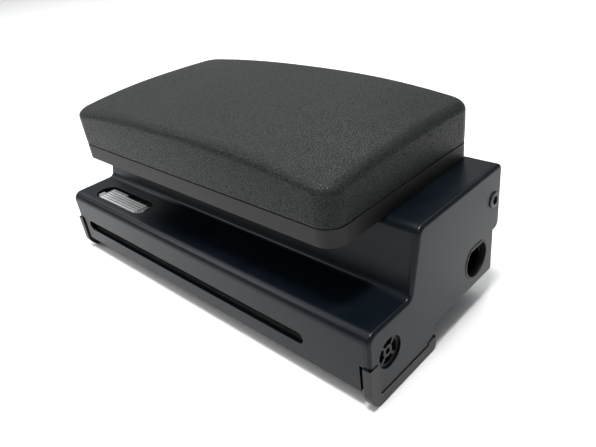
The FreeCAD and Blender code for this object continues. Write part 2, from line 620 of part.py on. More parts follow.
def make_cheek(side_name):
    """A side wall with a post and an arm that reaches back over the hood's rear fold to the pivot."""
    side = SIDES[side_name]
    body = new_body(f"cheek{side_name.title()}")
    x = span(side, CHEEK_IN, CHEEK_OUT)
    low = "cheekLow - trayDrop"
    gusset = "(2 * cheekLow)"
    outline = [("-cheekFront", "-trayDrop"), ("-consoleEdge", "-trayDrop"), ("-consoleEdge", "0"),
               ("wallBack", "0"), ("wallBack", low), ("-postRear", low), ("-postRear", ARM_LOW),
               ("pivotBack + earRadius", ARM_LOW), ("pivotBack + earRadius", "cheekTop"),
               ("-postFront", "cheekTop"), ("-postFront", f"{low} + {gusset}"),
               (f"-postFront - {gusset}", low), ("-cheekFront", low)]
    pad(body, "YZ_Plane", x[0], "cheekWall", outline)
    round_bends(body, [outline[7]], "earRadius - 0.01")
    round_bends(body, [outline[8], outline[9], outline[6], outline[5]], "cornerHeel")
    pocket(body, "YZ_Plane", f"{x[1]} + 1", "cheekWall + 2",
           lambda sketch: draw_circle(sketch, PIVOT, "pivotThread"))
    node(f"cheek_{side_name}", body)


def make_pivot_screw(side_name):
    """A shoulder screw: the hood's sleeve turns on its shoulder, and its thread holds the cheek."""
    side = SIDES[side_name]
    tag = side_name.title()
    seat = f"{PLATE_OUT} + runGap"
    head = rod(f"screwHead{tag}", "x", "pivotHead", PIVOT, span(side, seat, f"{seat} + pivotProud"))
    face = f"{seat} + pivotProud"
    socket = rod(f"screwSocket{tag}", "x", "pivotSocket", PIVOT,
                 span(side, f"{face} - socketDeep", f"{face} + 1"))
    shoulder = rod(f"screwShoulder{tag}", "x", "pivotShoulder", PIVOT, span(side, CHEEK_OUT, seat))
    thread = rod(f"screwThread{tag}", "x", "pivotThread", PIVOT,
                 span(side, f"{CHEEK_IN} - nutTall - threadPast", CHEEK_OUT))
    node(f"pivot_screw_{side_name}",
         cut(f"pivotScrew{tag}", fuse(f"screwSolid{tag}", [head, shoulder, thread]), [socket]))


def make_pivot_nuts():
    nuts = [tube(f"nut{side}", "x", "nutRadius", "pivotThread", PIVOT,
                 span(side, f"{CHEEK_IN} - nutTall", CHEEK_IN)) for side in SIDES.values()]
    node("pivot_nuts", group("pivotNuts", nuts))


def make_stop_bumpers():
    """Rubber pads under the arms, where the rear fold of the open hood comes to rest."""
    y = ("pivotBack - stopAhead", "pivotBack - stopAhead + stopDeep")
    z = (f"{ARM_LOW} - stopTall", ARM_LOW)
    pads = [box(f"stop{side}", span(side, f"{CHEEK_OUT} - stopWide", CHEEK_OUT), y, z)
            for side in SIDES.values()]
    node("stop_bumpers", group("stopBumpers", pads))


def make_catch():
    """A bracket with a magnet under the low top; the strike plate on the hood rests just above it."""
    x, y = catch_area()
    top = f"{LOW_IN} - strikeThick - runGap"
    post = box("catchPost", x, (f"({y[1]}) - sheet", y[1]), (TRAY_FLOOR, f"{top} - magnetThick"))
    shelf = box("catchShelf", x, y, (f"{top} - magnetThick - sheet", f"{top} - magnetThick"))
    base = box("catchFoot", x, y, (TRAY_FLOOR, f"{TRAY_FLOOR} + sheet"))
    node("catch_bracket", fuse("catchBracket", [post, shelf, base]))
    magnet_x = (f"{x[0]} + magnetInset", f"{x[1]} - magnetInset")
    magnet_y = (f"{y[0]} + magnetInset", f"{y[1]} - magnetRear")
    node("catch_magnet", box("catchMagnet", magnet_x, magnet_y, (f"{top} - magnetThick", top)))


# ---- Paper roll

def make_roll():
    ends = (PAPER_LEFT, PAPER_RIGHT)
    node("roll_core", tube("rollCore", "x", "coreOuter", "coreInner", ROLL, ends))
    node("paper_roll", tube("paperRoll", "x", "rollRadius", "coreOuter", ROLL, ends))


def make_roll_hubs():
    stub = "coreInner - coreFit"
    left_face = f"{PAPER_LEFT} - hubGap"
    left = [rod("hubLeftStub", "x", stub, ROLL, (left_face, f"{PAPER_LEFT} + hubReach")),
            rod("hubLeftDisc", "x", "hubFlange", ROLL, (f"{left_face} - hubDisc", left_face)),
            rod("hubLeftFoot", "x", "2 * hubShaft", ROLL, (f"-{CHEEK_IN}", f"{left_face} - hubDisc"))]
    node("roll_hub_left", fuse("rollHubLeft", left))
    right_face = f"{PAPER_RIGHT} + hubGap"
    back = f"{right_face} + hubDisc"
    bracket = f"({back} + springRoom)"
    right = [rod("hubRightStub", "x", stub, ROLL, (f"{PAPER_RIGHT} - hubReach", right_face)),
             rod("hubRightDisc", "x", "hubFlange", ROLL, (right_face, back)),
             rod("hubRightShaft", "x", "hubShaft", ROLL, (back, f"{bracket} + sheet + shaftPast"))]
    node("roll_hub_right", fuse("rollHubRight", right))
    clip = (f"{bracket} + sheet + runGap", f"{bracket} + sheet + runGap + clipThick")
    node("hub_clip", tube("hubClip", "x", "hubShaft + clipReach", "hubShaft", ROLL, clip))
    y = ("-rollBack - bracketHalf", "-rollBack + bracketHalf")
    plate = box("bracketPlate", (bracket, f"{bracket} + sheet"), y, ("sheet", "rollHeight + bracketAbove"))
    foot = box("bracketFoot", (bracket, f"{bracket} + bracketFoot"), y, ("sheet", "2 * sheet"))
    hole = rod("bracketHole", "x", "hubShaft + shaftFit", ROLL, (f"{bracket} - 1", f"{bracket} + sheet + 1"))
    node("roll_bracket", cut("rollBracket", fuse("bracketSolid", [plate, foot]), [hole]))
    heads = [rod(f"bracketScrew{i}", "z", "bracketScrewHead",
                 (f"{bracket} + bracketScrewX", f"-rollBack + {i} * bracketScrewY"),
                 ("2 * sheet", "2 * sheet + screwTall")) for i in (-1, 1)]
    node("bracket_screws", group("bracketScrews", heads))
    node("hub_spring", make_spring("hubSpring", "springRadius", "springWire", "springRoom",
                                   (back, *ROLL), "x"))


# ---- Strip printer

def make_printer_case():
    x = (CASE_LEFT, CASE_RIGHT)
    y = ("-caseFront", "-caseRear")
    inside_x = (f"{CASE_LEFT} + caseWall", f"{CASE_RIGHT} - caseWall")
    inside_y = ("caseWall - caseFront", "-caseRear - caseWall")
    paper_x = (f"{PAPER_LEFT} - mouthSide", f"{PAPER_RIGHT} + mouthSide")
    exit_y = ("-caseFront - 1", "caseWall - caseFront + 1")
    exit_z = ("slotHeight - slotTall / 2 + mouthTrim", "slotHeight + slotTall / 2 - mouthTrim")
    low = box("caseLowBlock", x, y, (TRAY_FLOOR, "caseSplit"))
    room = box("caseLowRoom", inside_x, inside_y, (CASE_FLOOR, "caseSplit + 1"))
    mouth = box("caseLowMouth", paper_x, exit_y, exit_z)
    node("printer_case_lower", cut("printerCaseLower", low, [room, mouth]))
    high = box("caseHighBlock", x, y, ("caseSplit", "caseTop"))
    roof = box("caseHighRoom", inside_x, inside_y, ("caseSplit - 1", "caseTop - caseWall"))
    lip = box("caseHighMouth", paper_x, exit_y, exit_z)
    entry = box("caseEntry", paper_x, ("-caseRear - caseWall - 1", "1 - caseRear"),
                ("caseTop - entryDrop", "caseTop - entryDrop + entryTall"))
    key = fuse("caseKeyHole", key_boxes("caseKeyHole", "runGap", ("caseTop - caseWall - 1", "caseTop + 1")))
    node("printer_case_upper", cut("printerCaseUpper", high, [roof, lip, entry, key]))


PLATEN = ("-platenBack", "platenHeight")
PLATEN_TEETH = 22
PINION_TEETH = 10


def gear(name, tip, teeth, centre, along):
    """A small spur gear: tapered teeth cut from a disc."""
    disc = rod(name + "Disc", "x", tip, centre, along)
    reach = f"({tip} - toothDeep)"
    half = f"({tip} * {math.pi / teeth} / 2)"
    gaps = []
    for i in range(teeth):
        gap = doc.addObject("Part::Box", f"{name}Gap{i}")
        bind(gap, Length=f"({along[1]}) - ({along[0]})", Width="toothDeep + 1", Height=f"2 * {half}")
        gap.Placement.Rotation = FreeCAD.Rotation(X_AXIS, 360 * i / teeth)
        angle = math.radians(360 * i / teeth)
        place(gap, along[0], f"{centre[0]} + {reach} * {math.cos(angle)} + {half} * {math.sin(angle)}",
              f"{centre[1]} + {reach} * {math.sin(angle)} - {half} * {math.cos(angle)}")
        gaps.append(gap)
    return cut(name, disc, gaps)


def make_platen():
    rubber = (f"{PAPER_LEFT} - rollerPast", f"{PAPER_RIGHT} + rollerPast")
    roller = rod("platenRubber", "x", "platenRadius", PLATEN, rubber)
    shaft = rod("platenShaft", "x", "platenShaft", PLATEN, (f"{PAPER_LEFT} - bearingLeft", GEAR_X[1]))
    bore = rod("platenBore", "x", "platenShaft", PLATEN, (f"{PAPER_LEFT} - 1", f"{PAPER_RIGHT} + 1"))
    node("platen_roller", cut("platenRoller", roller, [bore]))
    node("platen_shaft", shaft)
    blank = gear("platenGear", "gearTip", PLATEN_TEETH, PLATEN, GEAR_X)
    hole = rod("platenGearBore", "x", "platenShaft", PLATEN, (f"{GEAR_X[0]} - 1", f"{GEAR_X[1]} + 1"))
    node("platen_gear", cut("platenGearCut", blank, [hole]))
    blocks = []
    for name, low in (("Left", f"{PAPER_LEFT} - bearingLeft"), ("Right", f"{PAPER_RIGHT} + bearingRight")):
        x = (low, f"{low} + bearingThick")
        block = box(f"bearing{name}", x, ("-platenBack - bearingHalf", "bearingHalf - platenBack"),
                    (CASE_FLOOR, "platenHeight + bearingHalf"))
        journal = rod(f"journal{name}", "x", "platenShaft + pivotFit", PLATEN, (f"{x[0]} - 1", f"{x[1]} + 1"))
        blocks.append(cut(f"bearingCut{name}", block, [journal]))
    node("bearing_blocks", group("bearingBlocks", blocks))


def make_feed_motor():
    axis = ("-platenBack + gearTip + pinionTip + meshGap", "platenHeight")
    node("drive_pinion", gear("drivePinion", "pinionTip", PINION_TEETH, axis, GEAR_X))
    can = rod("motorCan", "x", "motorRadius", axis,
              (f"{GEAR_X[1]} + runGap", f"{GEAR_X[1]} + runGap + motorLong"))
    foot = box("motorFoot", (f"{GEAR_X[1]} + motorFootInset", f"{GEAR_X[1]} + motorLong - motorFootInset"),
               (f"{axis[0]} - motorFootHalf", f"{axis[0]} + motorFootHalf"),
               (CASE_FLOOR, "platenHeight - motorFootDrop"))
    node("feed_motor", fuse("feedMotor", [can, foot]))


def make_print_head():
    x = (f"{PAPER_LEFT} - rollerPast", f"{PAPER_RIGHT} + rollerPast")
    face = "(platenRadius + headGap - platenBack)"
    sink = f"({face} + headThick)"
    fin_root = f"({sink} + sinkThick)"
    top = "platenHeight + headAbove"
    node("print_head", box("printHead", x, (face, sink), ("platenHeight - headBelow", top)))
    back = box("sinkBack", x, (sink, fin_root), (CASE_FLOOR, top))
    low = "platenHeight - finLow"
    fins = [box(f"sinkFin{i}", x, (fin_root, f"{fin_root} + finReach"),
                (f"{low} + {i} * finStep", f"{low} + finThick + {i} * finStep")) for i in range(3)]
    node("heat_sink", fuse("heatSink", [back] + fins))
    board_y = "(-caseRear - caseWall - boardRear)"
    node("circuit_board", box("circuitBoard", (f"{CASE_LEFT} + boardInset", f"{PAPER_RIGHT} - boardInset"),
                              (f"{board_y} - boardThick", board_y), (CASE_FLOOR, "caseTop - boardDrop")))


def key_boxes(name, margin, z):
    """A block on each part of the key's plan, grown by a margin all round."""
    return [box(f"{name}{i}", (f"{x[0]} - {margin}", f"{x[1]} + {margin}"),
                (f"{y[0]} - {margin}", f"{y[1]} + {margin}"), z) for i, (x, y) in enumerate(KEY_PLAN)]


def make_feed_key():
    """A clear key that stands up into the hood's window, with a flange below; it travels downwards."""
    y = KEY_PLAN[0][1]
    stem = key_boxes("keyStem", "0", (KEY_UNDER, "lowTop - keyProud"))
    flange = key_boxes("keyFlangePlate", "keyFlange", (f"{KEY_UNDER} - keyFlangeThick", KEY_UNDER))
    node("feed_key", fuse("feedKey", stem + flange))
    board_low = "(platenHeight + platenRadius + keyBoardClear)"
    board_top = f"({board_low} + boardThick)"
    node("key_board", box("keyBoard", (f"{KEY_X[0]} - keyBoardSide", f"{KEY_X[1]} + keyBoardSide"),
                          (f"{y[0]} - keyBoardFront", f"{y[1]} + keyBoardRear"), (board_low, board_top)))
    length = f"({KEY_UNDER} - keyFlangeThick - {board_top})"
    springs = [make_spring(f"keySpring{i}", "keySpringRadius", "keySpringWire", length,
                           (f"({KEY_X[0]} + {KEY_X[1]}) / 2 + {i} * keySpringX", KEY_Y, board_top), "z")
               for i in (-1, 1)]
    node("key_springs", group("keySprings", springs))


def make_sockets():
    x = (CASE_RIGHT, f"{CASE_RIGHT} + socketProud")
    half_y = "dataWide / 2"
    half_z = "dataTall / 2"
    shell = box("dataShell", x, (f"-dataBack - {half_y}", f"-dataBack + {half_y}"),
                (f"dataHeight - {half_z}", f"dataHeight + {half_z}"))
    mouth = box("dataMouth", (f"{x[1]} - dataDeep", f"{x[1]} + 1"),
                (f"dataWall - dataBack - {half_y}", f"{half_y} - dataBack - dataWall"),
                (f"dataHeight - {half_z} + dataWall", f"dataHeight + {half_z} - dataWall"))
    node("data_socket", cut("dataSocket", shell, [mouth]))
    centre = ("-powerBack", "powerHeight")
    node("power_socket", tube("powerSocket", "x", "powerOuter", "powerInner", centre, x))


def make_rest_bumpers():
    spots = (f"{CASE_LEFT} + bumperLeft", f"{CASE_RIGHT} - bumperRight")
    pads = [rod(f"restBumper{i}", "z", "bumperRadius", (x, f"{FRONT} + bumperBack"),
                ("caseTop", f"{LOW_IN} - runGap")) for i, x in enumerate(spots)]
    node("rest_bumpers", group("restBumpers", pads))


def make_case_screws():
    heads = []
    for i, x in enumerate((f"{CASE_LEFT} + caseScrewInset", f"{CASE_RIGHT} - caseScrewInset")):
        for j, y in enumerate(("caseScrewEdge - caseFront", "-caseRear - caseScrewEdge")):
            heads.append(rod(f"caseScrew{i}{j}", "z", "caseScrewHead", (x, y),
                             ("-trayDrop - screwTall", "-trayDrop")))
    node("case_screws", group("caseScrews", heads))


def main():
    make_hood_shell()
    for side_name in SIDES:
        make_end_plate(side_name)
        make_edge_trim(side_name)
        make_pivot_sleeve(side_name)
    make_vent_plug()
    make_cable_bushing()
    make_pad_base()
    make_arm_pad()
    make_pad_screws()
    make_strike_plate()
    make_base_tray()
    for side_name in SIDES:
        make_cheek(side_name)
        make_pivot_screw(side_name)
    make_pivot_nuts()
    make_stop_bumpers()
    make_catch()
    make_roll()
    make_roll_hubs()
    make_printer_case()
    make_platen()
    make_feed_motor()
    make_print_head()
    make_feed_key()
    make_sockets()
    make_rest_bumpers()
    make_case_screws()
    doc.recompute()
    write_nodes()


def write_nodes():
    """Checks every object, then writes one STEP file per sub-part."""
    faults = [item.Name for item in doc.Objects if {"Invalid", "Error"} & set(item.State)]
    for item in nodes:
        if item.Shape.isNull() or not item.Shape.isValid() or not item.Shape.Solids:
            faults.append(item.Label)
    if faults:
        raise RuntimeError(f"failed objects: {faults}")
    os.makedirs("parts", exist_ok=True)
    for item in nodes:
        item.Shape.exportStep(f"parts/{item.Label}.step")
        box_ = item.Shape.BoundBox
        print(f"{item.Label:20s} {len(item.Shape.Solids)} solids, {item.Shape.Volume:10.1f} mm3, "
              f"x {box_.XMin:7.1f} {box_.XMax:7.1f}  y {box_.YMin:6.1f} {box_.YMax:6.1f}  "
              f"z {box_.ZMin:6.1f} {box_.ZMax:6.1f}")
    print(len(nodes), "nodes")


main()
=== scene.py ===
import bmesh
import bpy
from math import cos, pi, radians, sin
from mathutils import Matrix, Vector


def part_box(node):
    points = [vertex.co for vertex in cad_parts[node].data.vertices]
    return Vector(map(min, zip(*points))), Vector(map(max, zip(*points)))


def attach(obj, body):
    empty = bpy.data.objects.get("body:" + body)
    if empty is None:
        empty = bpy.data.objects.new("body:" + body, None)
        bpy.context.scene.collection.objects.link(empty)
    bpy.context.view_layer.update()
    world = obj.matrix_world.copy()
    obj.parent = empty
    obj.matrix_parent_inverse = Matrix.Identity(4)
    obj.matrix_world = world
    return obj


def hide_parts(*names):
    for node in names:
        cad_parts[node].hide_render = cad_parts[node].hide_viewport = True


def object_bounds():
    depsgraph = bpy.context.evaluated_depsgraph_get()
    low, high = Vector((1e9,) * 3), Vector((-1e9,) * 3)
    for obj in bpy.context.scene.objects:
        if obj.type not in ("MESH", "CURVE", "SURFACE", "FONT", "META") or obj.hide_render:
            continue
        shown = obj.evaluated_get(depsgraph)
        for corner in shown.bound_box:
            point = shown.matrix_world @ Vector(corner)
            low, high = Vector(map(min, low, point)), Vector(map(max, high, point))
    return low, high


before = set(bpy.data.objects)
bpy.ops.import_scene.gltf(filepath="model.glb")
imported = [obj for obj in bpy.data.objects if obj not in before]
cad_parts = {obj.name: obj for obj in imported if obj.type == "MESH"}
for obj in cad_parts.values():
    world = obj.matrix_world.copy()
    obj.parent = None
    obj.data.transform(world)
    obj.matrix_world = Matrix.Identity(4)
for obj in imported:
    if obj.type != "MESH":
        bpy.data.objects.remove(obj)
cadLow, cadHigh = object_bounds()
for startUp in ("Cube", "Camera", "Light"):
    if startUp in bpy.data.objects:
        bpy.data.objects.remove(bpy.data.objects[startUp])
scene = bpy.context.scene
mm = 0.001
weldReach = 0.002 * mm       # points nearer than this are one point
levelReach = 0.001 * mm      # heights nearer than this are one height
cutReach = 0.0005 * mm
print("frame loaded:", len(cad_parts), "nodes")


# A signal is one socket, and a sum on it adds the Math node.

class Signal:
    def __init__(self, finish, socket):
        self.finish = finish
        self.socket = socket

    def sum(self, operation, one, two):
        return self.finish.node("ShaderNodeMath", {"operation": operation}, {0: one, 1: two})

    def __add__(self, other):
        return self.sum("ADD", self, other)

    def __radd__(self, other):
        return self.sum("ADD", other, self)

    def __sub__(self, other):
        return self.sum("SUBTRACT", self, other)

    def __rsub__(self, other):
        return self.sum("SUBTRACT", other, self)

    def __mul__(self, other):
        return self.sum("MULTIPLY", self, other)

    def sine(self):
        return self.finish.node("ShaderNodeMath", {"operation": "SINE"}, {0: self})

    def step(self, low, high):
        # 0 below low, 1 above high, soft between them
        return self.finish.node("ShaderNodeMapRange", {"interpolation_type": "SMOOTHSTEP"},
                                {"Value": self, "From Min": low, "From Max": high})


def tone(red, green=None, blue=None):
    return (red, red if green is None else green, red if blue is None else blue, 1.0)


class Finish:
    def __init__(self, name, **fixed):
        self.material = bpy.data.materials.new(name)
        self.material.use_nodes = True
        self.tree = self.material.node_tree
        self.shader = self.tree.nodes["Principled BSDF"]
        self.place = self.node("ShaderNodeTexCoord", output="Object")
        for socket, amount in fixed.items():
            self.feed(socket, amount)

    def node(self, kind, settings=None, sockets=None, output=0):
        made = self.tree.nodes.new(kind)
        for key, amount in (settings or {}).items():
            if key == "stops":
                for number, (spot, colour) in enumerate(amount):
                    ramp = made.color_ramp.elements
                    stop = ramp[number] if number < 2 else ramp.new(spot)
                    stop.position = spot
                    stop.color = colour
            else:
                setattr(made, key, amount)
        for key, amount in (sockets or {}).items():
            self.join(made.inputs[key], amount)
        return Signal(self, made.outputs[output])

    def join(self, socket, amount):
        if isinstance(amount, Signal):
            self.tree.links.new(amount.socket, socket)
        else:
            socket.default_value = amount

    def feed(self, socket, amount):
        self.join(self.shader.inputs[socket.replace("_", " ")], amount)

    def mapped(self, stretch=(1, 1, 1), turn=(0, 0, 0), shift=(0, 0, 0)):
        return self.node("ShaderNodeMapping", {},
                         {"Vector": self.place, "Location": shift, "Rotation": turn, "Scale": stretch})

    def cloud(self, scale, detail=3.0, rough=0.5, stretch=(1, 1, 1), warp=0.0):
        return self.node("ShaderNodeTexNoise", {}, {"Vector": self.mapped(stretch), "Scale": scale,
                         "Detail": detail, "Roughness": rough, "Distortion": warp})

    def cells(self, scale, feature="F1", stretch=(1, 1, 1), output="Distance"):
        return self.node("ShaderNodeTexVoronoi", {"feature": feature},
                         {"Vector": self.mapped(stretch), "Scale": scale}, output)

    def axis(self, letter):
        return self.node("ShaderNodeSeparateXYZ", {}, {"Vector": self.place}, letter)

    def blend(self, mask, one, two):
        return self.node("ShaderNodeMix", {"data_type": "RGBA"}, {0: mask, 6: one, 7: two}, 2)

    def relief(self, height, depth, strength=1.0):
        self.feed("Normal", self.node("ShaderNodeBump", {},
                  {"Height": height, "Distance": depth, "Strength": strength}))


# The finishes. Scales are repeats per metre, depths are the bump's height.

paintLook = {
    "dark": tone(0.0016, 0.0036, 0.0062), "pale": tone(0.0042, 0.0070, 0.0098), "gloss": 0.20,
    "hoodRough": 0.24, "baseRough": 0.36,
    "smudge": 26, "smudgeShare": 0.8, "smudgeRough": 0.10,
    "speck": 3200, "speckShare": 0.25, "speckRough": 0.12, "speckRise": 0.4,
    "streak": 90, "streakLong": (0.25, 1, 1), "streakRough": 0.05,
    "peel": 1500, "peelDepth": 0.04 * mm, "peelStrength": 0.35,
}


def satinPaint(name, roughness):
    look = paintLook
    finish = Finish(name, Specular_IOR_Level=look["gloss"])
    smudge = finish.cloud(look["smudge"], 4, 0.6, warp=0.4)
    speck = finish.cells(look["speck"]).step(0.10, 0.04)
    mask = smudge.step(0.35, 0.75) * look["smudgeShare"] + speck * look["speckShare"]
    finish.feed("Base Color", finish.blend(mask, look["dark"], look["pale"]))
    streak = finish.cloud(look["streak"], 3, 0.55, stretch=look["streakLong"])
    finish.feed("Roughness", roughness + smudge * look["smudgeRough"] + streak * look["streakRough"]
                + speck * look["speckRough"])
    peel = finish.cloud(look["peel"], 2, 0.45)
    finish.relief(peel + speck * look["speckRise"], look["peelDepth"], look["peelStrength"])
    return finish


skinLook = {
    "dark": tone(0.0105, 0.0125, 0.0127), "pale": tone(0.027, 0.0298, 0.0295), "creaseShade": tone(0.003),
    "gloss": 0.14, "sheen": 0.04, "sheenRough": 0.3, "rough": 0.24,
    "pore": 1250, "poreLong": (1, 0.86, 1), "poreRough": 0.14, "poreRise": 0.75,
    "crease": 700, "creaseShadeShare": 0.7, "creaseRough": 0.24, "creaseRise": 0.5,
    "drift": 17, "driftShare": 0.22, "driftRough": 0.06, "worn": 900, "wornShare": 0.78,
    "swell": 420, "swellRise": 0.4, "depth": 0.20 * mm, "strength": 0.75,
}


def grainedSkin():
    # pebbled pores in a net of creases; the creases are darkened with painted shade
    look = skinLook
    finish = Finish("grainedSkin", Sheen_Weight=look["sheen"], Sheen_Roughness=look["sheenRough"],
                    Specular_IOR_Level=look["gloss"])
    swelling = finish.cloud(look["swell"], 2, 0.5)
    pebble = finish.cells(look["pore"], "SMOOTH_F1", stretch=look["poreLong"])
    crease = 1 - finish.cells(look["crease"], "DISTANCE_TO_EDGE").step(0.0, 0.20)
    drift = finish.cloud(look["drift"], 4, 0.55, warp=0.3)
    worn = finish.cloud(look["worn"], 3, 0.6)
    mask = (drift * look["driftShare"] + worn * look["wornShare"]).step(0.34, 0.68)
    shade = finish.blend(mask, look["dark"], look["pale"])
    # the creases are blended towards a near-black tone: painted shade in the recesses
    finish.feed("Base Color", finish.blend(crease * look["creaseShadeShare"], shade, look["creaseShade"]))
    finish.feed("Roughness", look["rough"] + pebble * look["poreRough"] + drift * look["driftRough"]
                + crease * look["creaseRough"])
    finish.relief((1 - pebble) * look["poreRise"] + (1 - crease) * look["creaseRise"]
                  + swelling * look["swellRise"], look["depth"], look["strength"])
    return finish


mouldedLook = {"grain": 1900, "depth": 0.05 * mm, "gloss": 0.4, "drift": 34, "lift": 1.9, "grainRough": 0.12,
               "driftRough": 0.08, "strength": 0.5}


def mouldedBlack(name, roughness, shade, **own):
    look = {**mouldedLook, **own}
    finish = Finish(name, Specular_IOR_Level=look["gloss"])
    drift = finish.cloud(look["drift"], 4, 0.55)
    grain = finish.cloud(look["grain"], 2, 0.6)
    finish.feed("Base Color", finish.blend(drift.step(0.3, 0.75), tone(shade), tone(shade * look["lift"])))
    finish.feed("Roughness", roughness + grain * look["grainRough"] + drift * look["driftRough"])
    finish.relief(grain, look["depth"], look["strength"])
    return finish


rubberLook = {"dust": 150, "dustShare": 0.5, "dustRough": 0.08, "bloom": 24, "bloomShare": 0.2,
              "bloomRough": 0.12, "lift": 2.6, "grain": 1300, "depth": 0.06 * mm, "strength": 0.5}


def rubber(name, shade, roughness, gloss):
    look = rubberLook
    finish = Finish(name, Specular_IOR_Level=gloss)
    dust = finish.cloud(look["dust"], 4, 0.65).step(0.48, 0.78)
    bloom = finish.cloud(look["bloom"], 3, 0.5)
    finish.feed("Base Color", finish.blend(dust * look["dustShare"] + bloom * look["bloomShare"],
                                           tone(shade), tone(shade * look["lift"])))
    finish.feed("Roughness", roughness + bloom * look["bloomRough"] + dust * look["dustRough"])
    finish.relief(finish.cloud(look["grain"], 3, 0.6), look["depth"], look["strength"])
    return finish


steelLook = {"turned": (1, 9, 9), "lines": 240, "lineRough": 0.14, "patch": 260, "patchRise": 0.2,
             "cloudy": 48, "cloudyRough": 0.10, "dull": 0.72, "depth": 0.04 * mm, "strength": 0.4}


def platedSteel(name, colour, roughness, turned):
    # turned pieces have fine lines round X, the others have none
    look = steelLook
    finish = Finish(name, Metallic=1.0)
    lines = finish.cloud(look["lines"], 3, 0.6, stretch=look["turned"] if turned else (1, 1, 1))
    patch = finish.cells(look["patch"], output="Color")
    patchLevel = finish.node("ShaderNodeSeparateColor", {}, {"Color": patch})
    cloudy = finish.cloud(look["cloudy"], 4, 0.6)
    dull = tone(*[channel * look["dull"] for channel in colour[:3]])
    finish.feed("Base Color", finish.blend(cloudy.step(0.35, 0.7), colour, dull))
    finish.feed("Roughness", roughness + lines * look["lineRough"] + cloudy * look["cloudyRough"])
    finish.relief(lines + patchLevel * look["patchRise"], look["depth"], look["strength"])
    return finish


clearLook = {
    "clear": tone(0.26, 0.275, 0.28), "milky": tone(0.44, 0.46, 0.46), "ribHighlight": tone(0.84, 0.87, 0.87),
    "through": 0.35, "bend": 1.49, "gloss": 0.5, "ribFoot": 0.42 * mm, "ribTop": 0.10 * mm,
    "haze": 160, "frost": 700, "rough": 0.14, "depth": 0.05 * mm, "strength": 0.3,
}


def clearPlastic(keyNode):
    # the rib tops are painted pale as a painted highlight, the floor between them is clear and shows the dark
    # below
    look = clearLook
    low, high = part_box(keyNode)
    finish = Finish("clearKey", IOR=look["bend"], Specular_IOR_Level=look["gloss"],
                    Transmission_Weight=look["through"])
    frost = finish.cloud(look["frost"], 3, 0.55)
    haze = finish.cloud(look["haze"], 3, 0.5)
    ribTop = finish.axis("Z").step(high.z - look["ribFoot"], high.z - look["ribTop"])
    clear = finish.blend(haze, look["clear"], look["milky"])
    # the tops of the ribs, found by height, are blended to a pale tone: a painted highlight
    finish.feed("Base Color", finish.blend(ribTop * (0.55 + haze * 0.5), clear, look["ribHighlight"]))
    finish.feed("Roughness", look["rough"] + frost * 0.14 + ribTop * 0.1)
    finish.relief(frost, look["depth"], look["strength"])
    return finish


boardLook = {
    "dark": tone(0.006, 0.075, 0.03), "light": tone(0.012, 0.12, 0.05), "track": tone(0.02, 0.17, 0.07),
    "pad": tone(0.72, 0.66, 0.5), "tracks": 130.0, "pads": 230, "patch": 60, "coat": 0.4, "rough": 0.34,
    "depth": 0.06 * mm, "strength": 0.5,
}


def circuitGreen():
    look = boardLook
    finish = Finish("circuitGreen", Coat_Weight=look["coat"])
    tracks = finish.node("ShaderNodeTexBrick", {"offset": 0.5, "squash": 1.6},
                         {"Vector": finish.mapped(turn=(radians(90), 0, 0)), "Scale": look["tracks"],
                          "Mortar Size": 0.06, "Mortar Smooth": 0.2}, "Fac")
    pads = finish.cells(look["pads"]).step(0.22, 0.17)
    patch = finish.cloud(look["patch"], 3, 0.6)
    green = finish.blend(patch, look["dark"], look["light"])
    etched = finish.blend(tracks * 0.8, green, look["track"])
    finish.feed("Base Color", finish.blend(pads, etched, look["pad"]))
    finish.feed("Metallic", pads * 0.9)
    finish.feed("Roughness", look["rough"] + patch * 0.12)
    finish.relief(tracks + pads, look["depth"], look["strength"])
    return finish


acetalLook = {"clean": tone(0.74, 0.73, 0.68), "greasy": tone(0.55, 0.53, 0.46), "haze": 110, "grease": 500,
              "soft": 0.15, "softReach": (0.002, 0.002, 0.002), "rough": 0.36, "depth": 0.05 * mm,
              "strength": 0.3}


def acetal():
    look = acetalLook
    finish = Finish("acetal", Subsurface_Weight=look["soft"], Subsurface_Radius=look["softReach"])
    haze = finish.cloud(look["haze"], 3, 0.5)
    grease = finish.cloud(look["grease"], 3, 0.6).step(0.55, 0.75)
    finish.feed("Base Color", finish.blend(haze * 0.5 + grease * 0.3, look["clean"], look["greasy"]))
    finish.feed("Roughness", look["rough"] + haze * 0.12 - grease * 0.1)
    finish.relief(haze, look["depth"], look["strength"])
    return finish


paperLook = {"face": tone(0.86, 0.86, 0.84), "edge": tone(0.70, 0.70, 0.68), "gloss": 0.3, "layers": 9000,
             "fibre": 1600, "rough": 0.62, "depth": 0.04 * mm, "strength": 0.4}


def rollPaper(rollNode):
    # the wound layers show as rings on the roll's ends
    look = paperLook
    low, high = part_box(rollNode)
    middle = (low + high) / 2
    finish = Finish("rollPaper", Specular_IOR_Level=look["gloss"])
    centred = finish.mapped(shift=(0, -middle.y, -middle.z))
    spread = finish.node("ShaderNodeVectorMath", {"operation": "MULTIPLY"}, {0: centred, 1: (0, 1, 1)})
    reach = finish.node("ShaderNodeVectorMath", {"operation": "LENGTH"}, {0: spread}, "Value")
    layers = (reach * look["layers"]).sine() * 0.5 + 0.5
    fibre = finish.cloud(look["fibre"], 4, 0.65)
    finish.feed("Base Color", finish.blend(layers * 0.4 + fibre * 0.4, look["face"], look["edge"]))
    finish.feed("Roughness", look["rough"] + fibre * 0.2)
    finish.relief(fibre + layers * 0.4, look["depth"], look["strength"])
    return finish


kraftLook = {"light": tone(0.36, 0.25, 0.15), "dark": tone(0.22, 0.145, 0.085), "gloss": 0.25, "fibre": 900,
             "wound": 26.0, "rough": 0.78, "depth": 0.09 * mm, "strength": 0.6}


